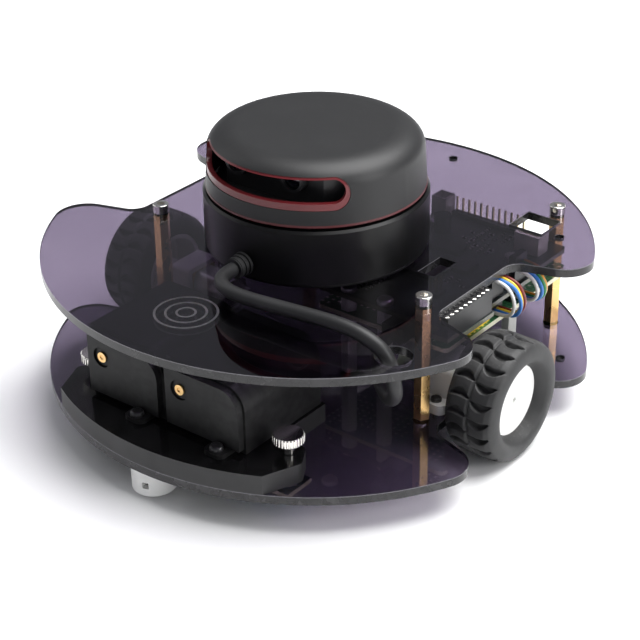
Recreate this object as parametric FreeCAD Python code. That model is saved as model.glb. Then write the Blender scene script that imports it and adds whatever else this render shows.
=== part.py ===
import FreeCAD, Part
import math
import os

# Two-wheeled line follower robot: two round acrylic decks, side wheels on small gearmotors,
# a ball caster at the front, two battery boxes, circuit boards and a spinning range finder.
# Millimetres. The floor is z = 0, the decks' centre is x = y = 0, the front is -Y, up is +Z.

V = FreeCAD.Vector

# ---- decks ----
deck_r = 93.4               # radius of both decks
deck_t = 3.0                # thickness of one deck
pillar_h = 39.3             # free height between the decks
pillar_flats = 5.0          # hex pillar, across its flats
pillar_inset = 7.0          # front pillars from the notch's straight edge
front_pillar_y = -17.0
rear_pillar_inset = 8.4     # rear pillars from the rim
rear_pillar_turn = 40.66    # degrees from the rear
small_hole_r = 1.6          # free mounting holes and board screw holes
small_hole_inset = 11.4     # rim to the upper deck's free holes
side_hole_turn = 53.3       # degrees from the rear
lower_hole_inset = 9.2
lower_hole_turn = 59.05
notch_gap = 3.0             # wheel's inner face to the notch's straight edge
notch_y = 1.0               # middle of a wheel notch along Y
notch_clear = 1.4           # wheel radius to the notch's corner, along Y
notch_slope = 0.31          # how fast a notch widens towards the rim
notch_inner_r = 6.5         # rounding of a notch's inner corners
notch_corner_r = 10.5       # rounding where a notch meets the rim

# ---- wheels and gearmotors ----
wheel_r = 21.0              # over the tread
wheel_w = 19.0              # tyre width
wheel_inset = 8.4           # deck's rim to the wheel's outer face
axle_over_deck = 7.0        # axle above the lower deck's top face
lug_count = 21              # tread lugs round one tyre
lug_depth = 1.3
lug_gap = 1.5               # width of the groove between two lugs
rim_r = 13.5                # drum that the tyre sits on
face_r = 12.1               # white face seen inside the tyre's lip
face_depth = 4.4            # tyre's outer side to the white face
hub_face_t = 2.0
hub_boss_r = 3.6
shaft_r = 1.5               # gearmotor's output shaft
shaft_out = 10.0            # shaft beyond the gearbox
motor_w = 12.0              # motor and gearbox, along Y
motor_h = 10.0              # motor and gearbox, along Z
motor_len = 15.0            # motor can
gearbox_len = 9.0
gearbox_to_wheel = 4.3      # gearbox's front plate to the wheel's inner face
can_wall = 0.5
plate_t = 0.8               # gearbox plates
tag_len = 2.6               # motor's two solder tags
tag_y = 4.2
rotor_r = 3.9
rotor_shaft_r = 0.5
run_fit = 0.05              # radial clearance of a shaft in its bore
seat_fit = 0.05             # clearance between pieces of one body
bracket_wall = 2.0
bracket_ear = 5.5           # length of each screw ear along Y
bracket_ear_t = 3.5

# ---- gear train ----
gear_module = 0.2
pinion_teeth = 9
wheel_teeth = 21
gear_w = 1.8

# ---- front caster ----
caster_inset = 8.0          # deck's rim to the caster's centre
caster_r = 7.4
caster_lift = 1.5           # housing's lower edge above the floor
caster_roof = 1.5           # plastic above the ball
caster_ear_t = 2.0          # screw ears
ball_gap = 0.3

# ---- tray and battery boxes ----
tray_t = 6.8
tray_end = 1.8              # thumb screw to where the tray's end meets the rim, along X
tray_lug = 7.1              # thumb screw to the tip of the lug round it, along X
tray_corner_r = 3.0
box_w = 30.0
box_h = 22.0
box_depth = 37.5            # box body along Y, without its cover
box_gap = 3.5               # between the two boxes
box_shift = -1.0            # middle of the pair along X
box_inset = 14.4            # deck's rim to the covers' front face
box_wall = 1.6
box_lip = 0.8               # box body beyond its cover, each side and on top
cover_t = 2.5
cover_round = 8.0           # rounded upper corner of box and cover
cover_screw_x = 6.0         # from the cover's left edge
cover_screw_z = 15.4        # from the cover's lower edge
cover_screw_r = 1.8
cover_recess_r = 3.5
cover_recess_t = 0.8
foot_x = 23.0               # box's foot screw from its left edge
foot_t = 1.5
foot_w = 8.0
foot_reach = 5.2            # foot in front of the cover
foot_screw_r = 2.25
cell_gap = 1.6              # round a cell, above and below
cell_len = 34.5

# ---- thumb screws and line sensor ----
thumb_gap = 8.7             # thumb screw to the battery box beside it, along X
thumb_inset = 25.8          # deck's rim to a thumb screw, along Y
thumb_head_r = 5.1
thumb_head_t = 3.0
thumb_neck = 4.2            # head's underside above the tray
thumb_neck_r = 1.9
knurl_count = 30
knurl_depth = 0.35
sensor_drop = 3.0           # spacer between the lower deck and the sensor board
sensor_board_w = 12.0
sensor_count = 8
sensor_pitch = 9.5
board_t = 1.6

# ---- range finder ----
scan_r = 38.0               # base, at its rim
scan_base_h = 20.0
scan_foot_step = 0.6        # base's rim radius to its radius at the deck
scan_head_step = 1.0        # base's rim radius to the head's radius at its lower edge
scan_head_taper = 0.8       # radius lost from the head's lower edge to its shoulder
scan_shoulder = 10.0        # width of the rounded shoulder, seen from above
scan_h = 41.0               # overall
scan_gap = 1.0              # base's rim to the head's lower edge
shoulder_z = 34.0           # where the shoulder starts, above the deck
scan_wall = 2.0
window_low = 29.0           # clear opening, above the deck
window_high = 36.8
window_turn = 0.5           # middle of the window, degrees from the front towards +X
window_span = 93.0          # straight part of the window, degrees
trim_low = 2.3              # coloured frame below the clear opening
trim_high = 0.8             # and above it
trim_inset = 0.25           # frame's face behind the head's outside
barrels = {"laser": (-13.5, 4.2), "camera": (9.5, 4.4)}     # lens barrels: place along X, radius
barrel_wall = 0.9
barrel_reach = 3.4          # barrel in front of the optics block
optics_inset = 16.0         # base's rim radius to the block's flat face
spindle_r = 6.0
gland_z = 5.6               # lead's exit above the deck
gland_len = 6.0
gland_r = 4.0
cable_d = 4.7
cable_hole_r = 6.0
cable_hole_inset = 9.6      # rim to the hole's centre
cable_hole_turn = 126.1     # degrees from the rear towards +X

# ---- boards between the decks ----
board_len_x = 52.6
board_len_y = 73.6
board_edge_gap = 0.8        # boards' edge to the notch's edge
board_y0 = -12.8
board_headroom = 17.3       # controller board's underside to the upper deck
board_gap = 5.4             # between the two boards
spacer_flats = 5.0
plug_wall = 0.9             # white connectors
pin_pitch = 2.54
header_w = 2.5
header_h = 8.5
header_out = 2.95           # socket strip's outer side beyond the boards' edge, into the open notch
header_first = 3.8          # strip's front end in front of the boards
contact_count = 10
wire_d = 1.3

# ---- screws ----
m3_r = 1.5
m3_hole_r = 1.6
cap_head_r = 2.8
cap_head_h = 3.0
cap_socket = 2.5            # across the flats of the socket
cap_socket_depth = 1.3
pan_head_r = 2.2
pan_head_h = 1.6
m2_r = 1.0

# ---- places that follow from the sizes above ----
axle_z = wheel_r
lower_top = axle_z - axle_over_deck
lower_z = lower_top - deck_t
upper_z = lower_top + pillar_h
upper_top = upper_z + deck_t
wheel_out_x = deck_r - wheel_inset
wheel_in_x = wheel_out_x - wheel_w
notch_x = wheel_in_x - notch_gap
notch_half = wheel_r + notch_clear
gearbox_front = wheel_in_x - gearbox_to_wheel
gearbox_back = gearbox_front - gearbox_len
caster_y = -(deck_r - caster_inset)
ball_r = (lower_z - caster_roof) / 2
tray_top = lower_top + tray_t
cover_y = -(deck_r - box_inset)
box_y0 = cover_y + cover_t
box_y1 = box_y0 + box_depth
thumb_y = -(deck_r - thumb_inset)
controller_z = upper_z - board_headroom
controller_top = controller_z + board_t
driver_z = controller_top + board_gap
driver_top = driver_z + board_t
box_lefts = {"right": box_shift - box_gap / 2 - box_w, "left": box_shift + box_gap / 2}
thumb_x = box_w + box_gap / 2 + box_lip + thumb_gap
tray_end_x = thumb_x + tray_end
tray_lug_x = thumb_x + tray_lug
cell_r = (box_h + box_lip - 2 * box_wall - 2 * cell_gap) / 2
scan_foot_r = scan_r - scan_foot_step
scan_head_r = scan_r - scan_head_step
scan_head_top_r = scan_head_r - scan_head_taper
scan_flat_r = scan_head_top_r - scan_shoulder
board_x1 = notch_x - board_edge_gap
board_x0 = board_x1 - board_len_x
board_y1 = board_y0 + board_len_y


def near_rim(inset, turn):
    """Place at the given distance inside the rim, turned from the rear (+Y) towards +X, in degrees."""
    a = math.radians(turn)
    return (deck_r - inset) * math.sin(a), (deck_r - inset) * math.cos(a)


front_pillar = (notch_x - pillar_inset, front_pillar_y)
rear_pillar = near_rim(rear_pillar_inset, rear_pillar_turn)
pillar_places = [(side * x, y) for x, y in (front_pillar, rear_pillar) for side in (1, -1)]
cable_hole = near_rim(cable_hole_inset, cable_hole_turn)

os.makedirs("parts", exist_ok=True)


def save(name, *shapes):
    solid = shapes[0] if len(shapes) == 1 else Part.makeCompound(list(shapes))
    solid.exportStep("parts/" + name + ".step")
    print(name, len(solid.Solids), "solids", round(solid.Volume, 1), "mm3")


def box(x0, y0, z0, x1, y1, z1):
    return Part.makeBox(x1 - x0, y1 - y0, z1 - z0, V(x0, y0, z0))


def post(r, x, y, z0, z1):
    return Part.makeCylinder(r, z1 - z0, V(x, y, z0))


def rod(r, x0, x1, y, z):
    return Part.makeCylinder(r, x1 - x0, V(x0, y, z), V(1, 0, 0))


def bolt(r, x, y0, y1, z):
    return Part.makeCylinder(r, y1 - y0, V(x, y0, z), V(0, 1, 0))


def prism(points, z0, z1):
    wire = Part.makePolygon([V(x, y, z0) for x, y in points + points[:1]])
    return Part.Face(wire).extrude(V(0, 0, z1 - z0))


def hex_post(flats, x, y, z0, z1):
    r = flats / math.sqrt(3)
    corners = [(x + r * math.cos(math.radians(60 * k)), y + r * math.sin(math.radians(60 * k)))
               for k in range(6)]
    return prism(corners, z0, z1)


def upright_edges(solid, keep):
    """Edges that run along Z and whose place (x, y) passes keep."""
    found = []
    for edge in solid.Edges:
        a, b = edge.firstVertex().Point, edge.lastVertex().Point
        if abs(a.x - b.x) < 1e-6 and abs(a.y - b.y) < 1e-6 and keep(a.x, a.y):
            found.append(edge)
    return found


def mirror_x(shape):
    return shape.mirror(V(0, 0, 0), V(1, 0, 0))


def lathe(points, axis_point, axis):
    """Solid turned from a closed outline of vectors."""
    wire = Part.makePolygon(points + points[:1])
    return Part.Face(wire).revolve(axis_point, axis, 360)


# ---- decks ----
def deck(z):
    plate = post(deck_r, 0, 0, z, z + deck_t)
    reach = deck_r + 10
    half_out = notch_half + notch_slope * (reach - notch_x)
    for side in (1, -1):
        corners = [(side * notch_x, notch_y - notch_half), (side * reach, notch_y - half_out),
                   (side * reach, notch_y + half_out), (side * notch_x, notch_y + notch_half)]
        plate = plate.cut(prism(corners, z - 1, z + deck_t + 1))
    inner = upright_edges(plate, lambda x, y: abs(abs(x) - notch_x) < 0.01)
    plate = plate.makeFillet(notch_inner_r, inner)
    outer = upright_edges(plate, lambda x, y: abs(math.hypot(x, y) - deck_r) < 0.01 and abs(x) > notch_x)
    plate = plate.makeFillet(notch_corner_r, outer)
    for x, y in pillar_places:
        plate = plate.cut(post(m3_hole_r, x, y, z - 1, z + deck_t + 1))
    return plate


scan_screw_ring = scan_r - 10
scan_screws = [(scan_screw_ring * math.cos(math.radians(a)), scan_screw_ring * math.sin(math.radians(a)))
               for a in (45, 135, 225, 315)]
rear_hole = near_rim(small_hole_inset, 0)
side_hole = near_rim(small_hole_inset, side_hole_turn)
lower_hole = near_rim(lower_hole_inset, lower_hole_turn)
# square window over the rear connector, and a window over the boards' inner pins
window_a = (board_x1 - 15.2, board_y1 - 14.0, board_x1 - 2.2, board_y1 - 1.5)
window_b = (board_x1 - 20.2, board_y0 + 12.3, board_x1 - 13.7, board_y0 + 25.3)
board_screws = [(board_x0 + 10.9, board_y0 + 3.6), (board_x0 + 25.9, board_y0 + 3.4),
                (board_x0 + 3.9, board_y1 - 11.5), (board_x1 - 10.2, board_y1 - 19.3)]

upper_deck = deck(upper_z)
for x, y in [rear_hole, side_hole] + scan_screws:
    upper_deck = upper_deck.cut(post(small_hole_r, x, y, upper_z - 1, upper_top + 1))
upper_deck = upper_deck.cut(post(cable_hole_r, cable_hole[0], cable_hole[1], upper_z - 1, upper_top + 1))
for x0, y0, x1, y1 in (window_a, window_b):
    upper_deck = upper_deck.cut(box(x0, y0, upper_z - 1, x1, y1, upper_top + 1))

sensor_screw_r = m3_r + run_fit
caster_ear_x = caster_r + 3.6
bracket_x0 = gearbox_back + 0.3
bracket_x1 = gearbox_front - 0.3
bracket_mid = (bracket_x0 + bracket_x1) / 2
bracket_half = motor_w / 2 + bracket_wall
ear_screw_y = bracket_half + bracket_ear / 2 - 0.3

lower_deck = deck(lower_z)
drill = [(side * lower_hole[0], lower_hole[1], small_hole_r) for side in (1, -1)]
drill += [(x, y, small_hole_r) for x, y in board_screws]
drill += [(side * caster_ear_x, caster_y, m2_r + run_fit) for side in (1, -1)]
drill += [(side * thumb_x, thumb_y, sensor_screw_r) for side in (1, -1)]
drill += [(side * bracket_mid, end * ear_screw_y, m2_r + run_fit) for side in (1, -1) for end in (1, -1)]
for x, y, r in drill:
    lower_deck = lower_deck.cut(post(r, x, y, lower_z - 1, lower_top + 1))
save("upper_deck", upper_deck)
save("lower_deck", lower_deck)


# ---- pillars and screws ----
def pillar(x, y):
    body = hex_post(pillar_flats, x, y, lower_top, upper_z)
    return body.cut(post(m3_r + seat_fit, x, y, lower_top, upper_z))


def cap_screw(x, y, seat, up):
    """Socket cap screw: head beyond seat in the direction up (1 or -1), shank the other way."""
    z0, z1 = sorted((seat, seat + up * cap_head_h))
    head = post(cap_head_r, x, y, z0, z1)
    rim = [e for e in head.Edges if abs(e.CenterOfMass.z - (seat + up * cap_head_h)) < 0.01]
    head = head.makeFillet(0.35, rim)
    s0, s1 = sorted((seat + up * (cap_head_h - cap_socket_depth), seat + up * (cap_head_h + 1)))
    head = head.cut(hex_post(cap_socket, x, y, s0, s1))
    t0, t1 = sorted((seat, seat - up * 9.0))
    return head.fuse(post(m3_r, x, y, t0, t1))


def pan_screw(x, y, seat, up, r, head_r, head_h, length):
    """Pan-head screw with a rounded head beyond seat, shank the other way."""
    z0, z1 = sorted((seat, seat + up * head_h))
    head = post(head_r, x, y, z0, z1)
    rim = [e for e in head.Edges if abs(e.CenterOfMass.z - (seat + up * head_h)) < 0.01]
    head = head.makeFillet(head_h * 0.55, rim)
    t0, t1 = sorted((seat, seat - up * length))
    return head.fuse(post(r, x, y, t0, t1))


save("deck_pillars", *[pillar(x, y) for x, y in pillar_places])
deck_screws = [cap_screw(x, y, upper_top, 1) for x, y in pillar_places]
deck_screws += [pan_screw(x, y, lower_z, -1, m3_r, cap_head_r, 2.0, 9.0) for x, y in pillar_places]
save("deck_screws", *deck_screws)

# ---- front tray ----
rim_y = math.sqrt(deck_r ** 2 - tray_end_x ** 2)
tongue_x0 = box_shift - box_gap / 2 - box_w - box_lip - 1.0
tongue_x1 = box_shift + box_gap / 2 + box_w + box_lip + 1.0
lug_y = thumb_y - 2.2
inner_y = thumb_y + 5.4
tray_points = [(-tray_end_x, -rim_y), (-tray_end_x, -deck_r - 5), (tray_end_x, -deck_r - 5),
               (tray_end_x, -rim_y), (tray_lug_x, lug_y), (tray_lug_x - 4.5, inner_y),
               (tongue_x1, inner_y), (tongue_x1, box_y1 + 1), (tongue_x0, box_y1 + 1),
               (tongue_x0, inner_y), (-(tray_lug_x - 4.5), inner_y), (-tray_lug_x, lug_y)]
tray = prism(tray_points, lower_top, tray_top).common(post(deck_r, 0, 0, lower_top, tray_top))
tray_corners = [(tray_lug_x, lug_y), (tray_lug_x - 4.5, inner_y)]


def is_tray_corner(x, y):
    return any(math.hypot(abs(x) - cx, y - cy) < 0.01 for cx, cy in tray_corners)


tray = tray.makeFillet(tray_corner_r, upright_edges(tray, is_tray_corner))
for side in (1, -1):
    tray = tray.cut(post(sensor_screw_r, side * thumb_x, thumb_y, lower_top - 1, tray_top + 1))
    tray = tray.cut(post(m2_r + run_fit, side * caster_ear_x, caster_y, lower_top - 1, lower_top + 3.0))
foot_screw_y = cover_y - foot_reach / 2 + 0.1
for left in box_lefts.values():
    tray = tray.cut(post(m2_r + seat_fit, left + foot_x, foot_screw_y, tray_top - 5, tray_top + 1))
save("front_tray", tray)


# ---- battery boxes ----
def rounded_block(x0, x1, y0, y1, z0, z1, r):
    """Block whose upper corner at x1 is rounded along Y."""
    block = box(x0, y0, z0, x1, y1, z1)
    middles = [(edge, edge.CenterOfMass) for edge in block.Edges]
    corner = [edge for edge, at in middles if abs(at.x - x1) < 0.01 and abs(at.z - z1) < 0.01]
    return block.makeFillet(r, corner)


def battery_box(left):
    x0, x1 = left - box_lip, left + box_w + box_lip
    top = tray_top + box_h + box_lip
    body = rounded_block(x0, x1, box_y0, box_y1, tray_top, top, cover_round)
    inside = rounded_block(x0 + box_wall, x1 - box_wall, box_y0 - 1, box_y1 - box_wall,
                           tray_top + box_wall, top - box_wall, cover_round - box_wall)
    body = body.cut(inside)
    boss_x, boss_z = left + cover_screw_x, tray_top + cover_screw_z
    boss = bolt(2.6, boss_x, box_y0, box_y0 + 8, boss_z)
    web = box(x0 + box_wall, box_y0, boss_z - 0.8, boss_x, box_y0 + 8, boss_z + 0.8)
    body = body.fuse([boss, web]).cut(bolt(m2_r, boss_x, box_y0 - 1, box_y0 + 7, boss_z))
    foot = box(left + foot_x - foot_w / 2, cover_y - foot_reach, tray_top,
               left + foot_x + foot_w / 2, box_y0 + 0.5, tray_top + foot_t)
    front = upright_edges(foot, lambda x, y: abs(y - (cover_y - foot_reach)) < 0.01)
    foot = foot.makeFillet(2.4, front)
    body = body.fuse(foot)
    return body.cut(post(m2_r + seat_fit, left + foot_x, foot_screw_y, tray_top - 1, tray_top + foot_t + 1))


def box_cover(left):
    low = tray_top + foot_t + 0.1
    plate = rounded_block(left, left + box_w, cover_y, box_y0, low, tray_top + box_h, cover_round - 0.6)
    x, z = left + cover_screw_x, tray_top + cover_screw_z
    plate = plate.cut(bolt(cover_recess_r, x, cover_y - 1, cover_y + cover_recess_t, z))
    return plate.cut(bolt(m2_r + seat_fit, x, cover_y - 1, box_y0 + 1, z))


def cover_screw(left):
    x, z = left + cover_screw_x, tray_top + cover_screw_z
    seat = cover_y + cover_recess_t
    head = bolt(cover_screw_r, x, seat - 0.7, seat, z)
    head = head.cut(Part.makeCylinder(0.75, 0.5, V(x, seat - 0.9, z), V(0, 1, 0)))
    return head.fuse(bolt(m2_r - seat_fit, x, seat, box_y0 + 6, z))


for side, left in box_lefts.items():
    save("battery_box_" + side, battery_box(left))
    save("box_cover_" + side, box_cover(left))
save("cover_screws", *[cover_screw(left) for left in box_lefts.values()])
black_screws = [pan_screw(left + foot_x, foot_screw_y, tray_top + foot_t, 1, m2_r, foot_screw_r, 1.7, 5.5)
                for left in box_lefts.values()]


def cell(left):
    """Round lithium cell lying along Y at the box's free side."""
    x = left + box_w + box_lip - box_wall - cell_r - 0.6
    z = tray_top + box_wall + cell_r + 0.4
    y0 = box_y0 + 0.4
    can = bolt(cell_r, x, y0, y0 + cell_len - 1, z)
    return can.fuse(bolt(2.6, x, y0 + cell_len - 1, y0 + cell_len, z))


save("battery_cells", *[cell(left) for left in box_lefts.values()])


# ---- thumb screws and the line sensor under the deck ----
def thumb_screw(side):
    x = side * thumb_x
    low = lower_z - sensor_drop - board_t - 0.4
    seat = tray_top + thumb_neck
    head = post(thumb_head_r, x, thumb_y, seat, seat + thumb_head_t)
    rims = [e for e in head.Edges if e.Length > 6 * thumb_head_r - 0.1]
    head = head.makeChamfer(0.4, rims)
    for k in range(knurl_count):
        a = 2 * math.pi * k / knurl_count
        cx, cy = x + thumb_head_r * math.cos(a), thumb_y + thumb_head_r * math.sin(a)
        head = head.cut(post(knurl_depth, cx, cy, seat - 1, seat + thumb_head_t + 1))
    neck = post(thumb_neck_r, x, thumb_y, tray_top + 0.3, seat)
    return head.fuse([neck, post(m3_r, x, thumb_y, low, tray_top + 0.3)])


for side, name in ((1, "left"), (-1, "right")):
    save("thumb_screw_" + name, thumb_screw(side))

sensor_top = lower_z - sensor_drop
sensor_board = box(-thumb_x - 4, thumb_y - sensor_board_w / 2, sensor_top - board_t,
                   thumb_x + 4, thumb_y + sensor_board_w / 2, sensor_top)
for side in (1, -1):
    sensor_board = sensor_board.cut(post(sensor_screw_r, side * thumb_x, thumb_y, 0, lower_z))
save("line_sensor_board", sensor_board)
sensor_low = sensor_top - board_t
eyes = []
for k in range(sensor_count):
    x = (k - (sensor_count - 1) / 2) * sensor_pitch
    eye = box(x - 1.9, thumb_y - 1.6, sensor_low - 1.5, x + 1.9, thumb_y + 1.6, sensor_low)
    for dx in (-0.95, 0.95):
        eye = eye.fuse(Part.makeSphere(0.6, V(x + dx, thumb_y, sensor_low - 1.5)))
    eyes.append(eye)
save("line_sensors", *eyes)


# ---- ball caster ----
def caster_housing():
    ball_z = ball_r
    body = post(caster_r, 0, caster_y, caster_lift, lower_z)
    lower_rim = [e for e in body.Edges if abs(e.CenterOfMass.z - caster_lift) < 0.01]
    body = body.makeFillet(0.8, lower_rim)
    ears = box(-caster_ear_x, caster_y - 2.6, lower_z - caster_ear_t, caster_ear_x, caster_y + 2.6,
               lower_z)
    tips = [post(2.6, side * caster_ear_x, caster_y, lower_z - caster_ear_t, lower_z) for side in (1, -1)]
    body = body.fuse([ears] + tips)
    body = body.cut(Part.makeSphere(ball_r + ball_gap, V(0, caster_y, ball_z)))
    # three slots in the wall let the ball's steel pins be pressed in
    for turn in (-70, 50, 170):
        slot = box(caster_r - 2.4, -1.1, ball_z - 0.2, caster_r + 1, 1.1, ball_z + 2.0)
        slot.rotate(V(0, 0, 0), V(0, 0, 1), turn)
        slot.translate(V(0, caster_y, 0))
        body = body.cut(slot)
    for side in (1, -1):
        body = body.cut(post(m2_r + run_fit, side * caster_ear_x, caster_y, lower_z - 4, lower_z + 1))
    return body


save("caster_housing", caster_housing())
save("caster_ball", Part.makeSphere(ball_r, V(0, caster_y, ball_r)))


# ---- gears ----
def gear(teeth, width, phase_deg, play=0.05, addendum=0.85, dedendum=1.15):
    """Spur gear on the Z axis, a tooth centred at phase_deg, with involute flanks."""
    m = gear_module
    pitch_r = m * teeth / 2
    base_r = pitch_r * math.cos(math.radians(20))
    tip_r = pitch_r + addendum * m
    root_r = pitch_r - dedendum * m
    half = math.pi / (2 * teeth) - play / (2 * pitch_r)

    def involute(a):
        return math.tan(a) - a

    start = involute(math.radians(20))

    def half_angle(r):
        return half + start - involute(math.acos(min(1.0, base_r / r)))

    radii = [max(base_r, root_r + 0.01) + (tip_r - max(base_r, root_r + 0.01)) * k / 3 for k in range(4)]
    points = []
    for k in range(teeth):
        centre = math.radians(phase_deg) + 2 * math.pi * k / teeth
        flank = [(root_r, half_angle(radii[0]))] + [(r, half_angle(r)) for r in radii]
        for r, a in flank:
            points.append((r * math.cos(centre - a), r * math.sin(centre - a)))
        for r, a in reversed(flank):
            points.append((r * math.cos(centre + a), r * math.sin(centre + a)))
    return prism(points, 0, width)


def along_x(shape, x, y, z):
    """Turn a shape made on the Z axis so that it runs along +X from (x, y, z)."""
    shape = shape.copy()
    shape.rotate(V(0, 0, 0), V(0, 1, 0), 90)
    shape.translate(V(x, y, z))
    return shape


# ---- gearmotors, built for +X and mirrored ----
gear_centres = gear_module * (pinion_teeth + wheel_teeth) / 2
stage_one_x = gearbox_back + plate_t + 0.3
stage_two_x = gearbox_front - plate_t - 0.3 - gear_w
pin_r = 0.4
can_back = gearbox_back - motor_len
arbor_x1 = stage_one_x + gear_w + 0.3


def motor_can():
    def shape(x0, x1, shrink):
        round_part = rod(motor_w / 2 - shrink, x0, x1, 0, axle_z)
        flat = box(x0, -motor_w, axle_z - motor_h / 2 + shrink, x1, motor_w, axle_z + motor_h / 2 - shrink)
        return round_part.common(flat)
    can = shape(can_back, gearbox_back, 0).cut(shape(can_back + 1.2, gearbox_back - can_wall, can_wall))
    tail = rod(1.9, can_back - 1.0, can_back, 0, axle_z)
    can = can.fuse(tail)
    tags = [box(can_back - tag_len, s * tag_y - 0.9, axle_z - 0.2, can_back, s * tag_y + 0.9, axle_z + 0.2)
            for s in (1, -1)]
    can = can.fuse(tags)
    return can.cut(rod(rotor_shaft_r + run_fit, can_back - 0.4, gearbox_back + 1, 0, axle_z))


def rotor():
    shaft = rod(rotor_shaft_r, can_back - 0.3, arbor_x1, 0, axle_z)
    core = rod(rotor_r, can_back + 4.0, gearbox_back - 2.0, 0, axle_z)
    collector = rod(1.6, can_back + 1.8, can_back + 4.0, 0, axle_z)
    pinion = along_x(gear(pinion_teeth, gear_w, 90), stage_one_x, 0, axle_z)
    return shaft.fuse([core, collector, pinion])


def gearbox():
    y0, z0 = -motor_w / 2, axle_z - motor_h / 2
    y1, z1 = -y0, axle_z + motor_h / 2
    back = box(gearbox_back, y0, z0, gearbox_back + plate_t, y1, z1)
    front = box(gearbox_front - plate_t, y0, z0, gearbox_front, y1, z1)
    posts = [rod(0.6, gearbox_back, gearbox_front, sy * (y1 - 0.8), axle_z + sz * (motor_h / 2 - 0.8))
             for sy in (1, -1) for sz in (1, -1)]
    idler_pin = rod(pin_r, gearbox_back, gearbox_front, gear_centres, axle_z)
    frame = back.fuse([front, idler_pin] + posts)
    frame = frame.cut(rod(rotor_shaft_r + run_fit, gearbox_back - 1, gearbox_back + plate_t + 1, 0, axle_z))
    return frame.cut(rod(shaft_r + run_fit, gearbox_front - plate_t - 1, gearbox_front + 1, 0, axle_z))


def idler_gear():
    large = along_x(gear(wheel_teeth, gear_w, -90 + 180 / wheel_teeth), stage_one_x, gear_centres, axle_z)
    small = along_x(gear(pinion_teeth, gear_w, -90 + 180 / pinion_teeth), stage_two_x, gear_centres, axle_z)
    sleeve = rod(0.66, stage_one_x, stage_two_x + gear_w, gear_centres, axle_z)
    bore = rod(pin_r + run_fit, stage_one_x - 1, stage_two_x + gear_w + 1, gear_centres, axle_z)
    return sleeve.fuse([large, small]).cut(bore)


def output_shaft():
    shaft = rod(shaft_r, stage_two_x, gearbox_front + shaft_out, 0, axle_z)
    flat = box(gearbox_front + 1.5, -3, axle_z + shaft_r - 0.5, gearbox_front + shaft_out + 1, 3, axle_z + 3)
    shaft = shaft.cut(flat)
    return shaft.fuse(along_x(gear(wheel_teeth, gear_w, 90), stage_two_x, 0, axle_z))


def bracket():
    top = axle_z + motor_h / 2 + bracket_wall
    outer = box(bracket_x0, -bracket_half, lower_top, bracket_x1, bracket_half, top)
    shoulders = [e for e in outer.Edges if abs(e.CenterOfMass.z - top) < 0.01
                 and abs(abs(e.CenterOfMass.y) - bracket_half) < 0.01]
    outer = outer.makeFillet(1.6, shoulders)
    reach = bracket_half + bracket_ear
    ears = box(bracket_x0, -reach, lower_top, bracket_x1, reach, lower_top + bracket_ear_t)
    ears = ears.makeFillet(2.2, upright_edges(ears, lambda x, y: abs(abs(y) - reach) < 0.01))
    body = outer.fuse(ears)
    body = body.cut(box(bracket_x0 - 1, -motor_w / 2 - seat_fit, axle_z - motor_h / 2 - seat_fit,
                        bracket_x1 + 1, motor_w / 2 + seat_fit, axle_z + motor_h / 2 + seat_fit))
    for end in (1, -1):
        body = body.cut(post(m2_r + run_fit, bracket_mid, end * ear_screw_y, lower_top - 1, lower_top + 9))
    return body


def wheel_hub():
    drum_x0 = wheel_in_x + 1.0
    face_x = wheel_out_x - face_depth
    drum = rod(rim_r - seat_fit, drum_x0, face_x - hub_face_t, 0, axle_z)
    drum = drum.cut(rod(rim_r - 1.6, drum_x0 - 1, face_x - 2 * hub_face_t, 0, axle_z))
    face = rod(face_r - seat_fit, face_x - 2 * hub_face_t, face_x, 0, axle_z)
    boss = rod(hub_boss_r, drum_x0, face_x, 0, axle_z)
    hub = drum.fuse([face, boss])
    shaft_end = gearbox_front + shaft_out
    bore = rod(shaft_r + 0.01, drum_x0 - 1, shaft_end + 0.3, 0, axle_z)
    key = box(drum_x0 - 1, -3, axle_z + shaft_r - 0.49, shaft_end + 1, 3, axle_z + 3)
    hub = hub.cut(bore.cut(key))
    return hub.cut(rod(1.1, face_x - 1.2, face_x + 1, 0, axle_z))


def tyre():
    x0, x1 = wheel_in_x, wheel_out_x
    face_x = x1 - face_depth
    outline = [(x0, 14.6), (x0, 17.6), (x0 + 0.9, 19.4), (x0 + 2.4, wheel_r - 0.4), (x0 + 4.0, wheel_r),
               (x1 - 4.0, wheel_r), (x1 - 2.4, wheel_r - 0.4), (x1 - 0.9, 19.4), (x1, 17.6), (x1, 14.4),
               (x1 - 0.5, 13.7), (face_x + 0.2, face_r), (face_x - hub_face_t + 0.05, face_r),
               (face_x - hub_face_t + 0.05, rim_r), (x0 + 0.8, rim_r)]
    body = lathe([V(x, 0, axle_z + r) for x, r in outline], V(0, 0, axle_z), V(1, 0, 0))
    half_w = (x1 - x0) / 2
    middle = x0 + half_w
    slots = [rod(wheel_r + 1, middle - 0.4, middle + 0.4, 0, axle_z).cut(
        rod(wheel_r - 0.8, middle - 1, middle + 1, 0, axle_z))]
    for k in range(lug_count):
        for side in (-1, 1):
            a, b = sorted((middle + side * 1.2, middle + side * (half_w + 1)))
            slot = box(a, -lug_gap / 2, wheel_r - lug_depth, b, lug_gap / 2, wheel_r + 2)
            slot.rotate(V(middle, 0, 0), V(0, 0, 1), side * 9)
            slot.translate(V(0, 0, axle_z))
            slot.rotate(V(0, 0, axle_z), V(1, 0, 0), 180 + 360 * (k + 0.5) / lug_count)
            slots.append(slot)
    return body.cut(slots)


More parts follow.
